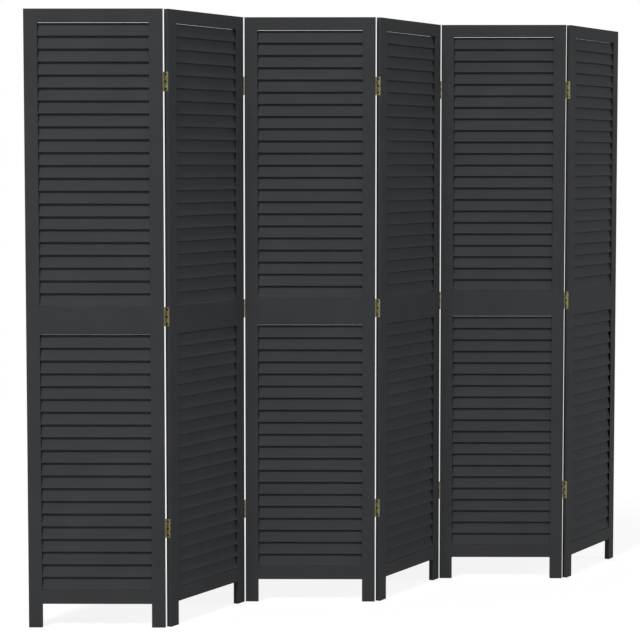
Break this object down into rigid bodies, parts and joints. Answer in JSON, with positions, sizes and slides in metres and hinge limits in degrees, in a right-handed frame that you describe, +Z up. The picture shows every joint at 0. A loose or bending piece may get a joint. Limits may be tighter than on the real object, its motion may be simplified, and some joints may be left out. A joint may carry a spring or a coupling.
{
  "type": "folding screen",
  "caption": "Black painted louvred folding screen of hinged panels, each with slats above and below a middle rail.",
  "frame": {"origin": "on the floor, under the middle of the screen as it stands half folded", "axes": "+X along the screen, left to right from its front, +Y from front to back, +Z up"},
  "size_m": [2.1424, 0.213, 1.8],
  "materials": {
    "frame_paint": "painted_satin",
    "slat_paint": "painted_satin",
    "hinge_brass": "antique"
  },
  "bodies": {
    "panel_1": {"panel_1_left_stile": "frame_paint", "panel_1_right_stile": "frame_paint", "panel_1_bottom_rail": "frame_paint", "panel_1_middle_rail": "frame_paint", "panel_1_top_rail": "frame_paint", "panel_1_slats": "slat_paint", "hinge_1_2_left_leaves": "hinge_brass", "hinge_1_2_pins": "hinge_brass"},
    "panel_2": {"panel_2_left_stile": "frame_paint", "panel_2_right_stile": "frame_paint", "panel_2_bottom_rail": "frame_paint", "panel_2_middle_rail": "frame_paint", "panel_2_top_rail": "frame_paint", "panel_2_slats": "slat_paint", "hinge_1_2_right_leaves": "hinge_brass", "hinge_2_3_left_leaves": "hinge_brass"},
    "panel_3": {"panel_3_left_stile": "frame_paint", "panel_3_right_stile": "frame_paint", "panel_3_bottom_rail": "frame_paint", "panel_3_middle_rail": "frame_paint", "panel_3_top_rail": "frame_paint", "panel_3_slats": "slat_paint", "hinge_2_3_right_leaves": "hinge_brass", "hinge_2_3_pins": "hinge_brass", "hinge_3_4_left_leaves": "hinge_brass", "hinge_3_4_pins": "hinge_brass"},
    "panel_4": {"panel_4_left_stile": "frame_paint", "panel_4_right_stile": "frame_paint", "panel_4_bottom_rail": "frame_paint", "panel_4_middle_rail": "frame_paint", "panel_4_top_rail": "frame_paint", "panel_4_slats": "slat_paint", "hinge_3_4_right_leaves": "hinge_brass", "hinge_4_5_left_leaves": "hinge_brass"},
    "panel_5": {"panel_5_left_stile": "frame_paint", "panel_5_right_stile": "frame_paint", "panel_5_bottom_rail": "frame_paint", "panel_5_middle_rail": "frame_paint", "panel_5_top_rail": "frame_paint", "panel_5_slats": "slat_paint", "hinge_4_5_right_leaves": "hinge_brass", "hinge_4_5_pins": "hinge_brass", "hinge_5_6_left_leaves": "hinge_brass", "hinge_5_6_pins": "hinge_brass"},
    "panel_6": {"panel_6_left_stile": "frame_paint", "panel_6_right_stile": "frame_paint", "panel_6_bottom_rail": "frame_paint", "panel_6_middle_rail": "frame_paint", "panel_6_top_rail": "frame_paint", "panel_6_slats": "slat_paint", "hinge_5_6_right_leaves": "hinge_brass"}
  },
  "joints": [
    {"name": "fold_1_2", "type": "hinge", "parent": "panel_2", "child": "panel_1", "pos_m": [-0.7154, -0.09252, 0], "axis": [0, 0, -1], "range_deg": [-60, 120]},
    {"name": "fold_2_3", "type": "hinge", "parent": "panel_3", "child": "panel_2", "pos_m": [-0.3577, 0.09252, 0], "axis": [0, 0, 1], "range_deg": [-60, 120]},
    {"name": "fold_3_4", "type": "hinge", "parent": "panel_3", "child": "panel_4", "pos_m": [0, -0.09252, 0], "axis": [0, 0, 1], "range_deg": [-60, 120]},
    {"name": "fold_4_5", "type": "hinge", "parent": "panel_4", "child": "panel_5", "pos_m": [0.3577, 0.09252, 0], "axis": [0, 0, -1], "range_deg": [-60, 120]},
    {"name": "fold_5_6", "type": "hinge", "parent": "panel_5", "child": "panel_6", "pos_m": [0.7154, -0.09252, 0], "axis": [0, 0, 1], "range_deg": [-60, 120]}
  ]
}
